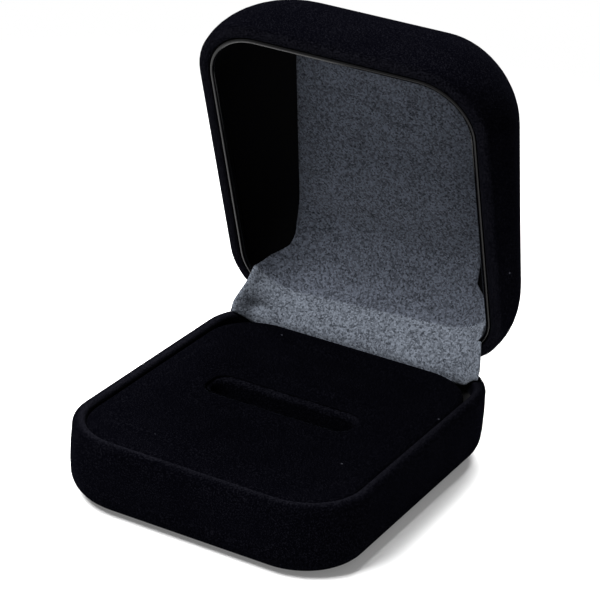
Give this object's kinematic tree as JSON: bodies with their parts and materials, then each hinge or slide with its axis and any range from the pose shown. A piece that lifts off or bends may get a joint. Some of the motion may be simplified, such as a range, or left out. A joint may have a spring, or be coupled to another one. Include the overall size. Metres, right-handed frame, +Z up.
{
  "type": "ring box with snap lid",
  "caption": "Small velvet-covered box with a deep domed lid on a hidden spring hinge, a grey cloth lining and a slotted velvet pad.",
  "frame": {"origin": "centre of the box's underside", "axes": "X to the right, Y to the hinge at the back, Z up"},
  "size_m": [0.0582, 0.0758, 0.0781],
  "materials": {
    "moulded_plastic": "matte black moulding",
    "velvet": "short black pile",
    "felt": "black felt",
    "card": "grey board",
    "foam": "open-cell foam",
    "steel": "nickel-plated steel",
    "grey_cloth": "slate grey brushed cloth",
    "gloss_liner": "gloss black liner"
  },
  "bodies": {
    "base": {"base_shell": "moulded_plastic", "base_velvet": "velvet", "base_underside": "felt", "pad_card": "card", "pad_foam": "foam", "pad_velvet": "velvet", "base_hinge_leaf": "steel", "base_rivet_left": "steel", "base_rivet_right": "steel", "hinge_pin": "steel", "hinge_spring": "steel", "hinge_cover": "grey_cloth"},
    "lid": {"lid_shell": "moulded_plastic", "lid_velvet": "velvet", "lid_liner": "gloss_liner", "lid_card": "card", "lid_wadding": "foam", "lid_lining": "grey_cloth", "lid_hinge_leaf": "steel", "lid_rivet_left": "steel", "lid_rivet_right": "steel"}
  },
  "joints": [
    {"name": "lid_hinge", "type": "hinge", "parent": "base", "child": "lid", "pos_m": [0, 0.03205, 0.0156], "axis": [1, 0, 0], "range_deg": [0, 69], "deforming": ["hinge_cover", "hinge_spring"]}
  ]
}
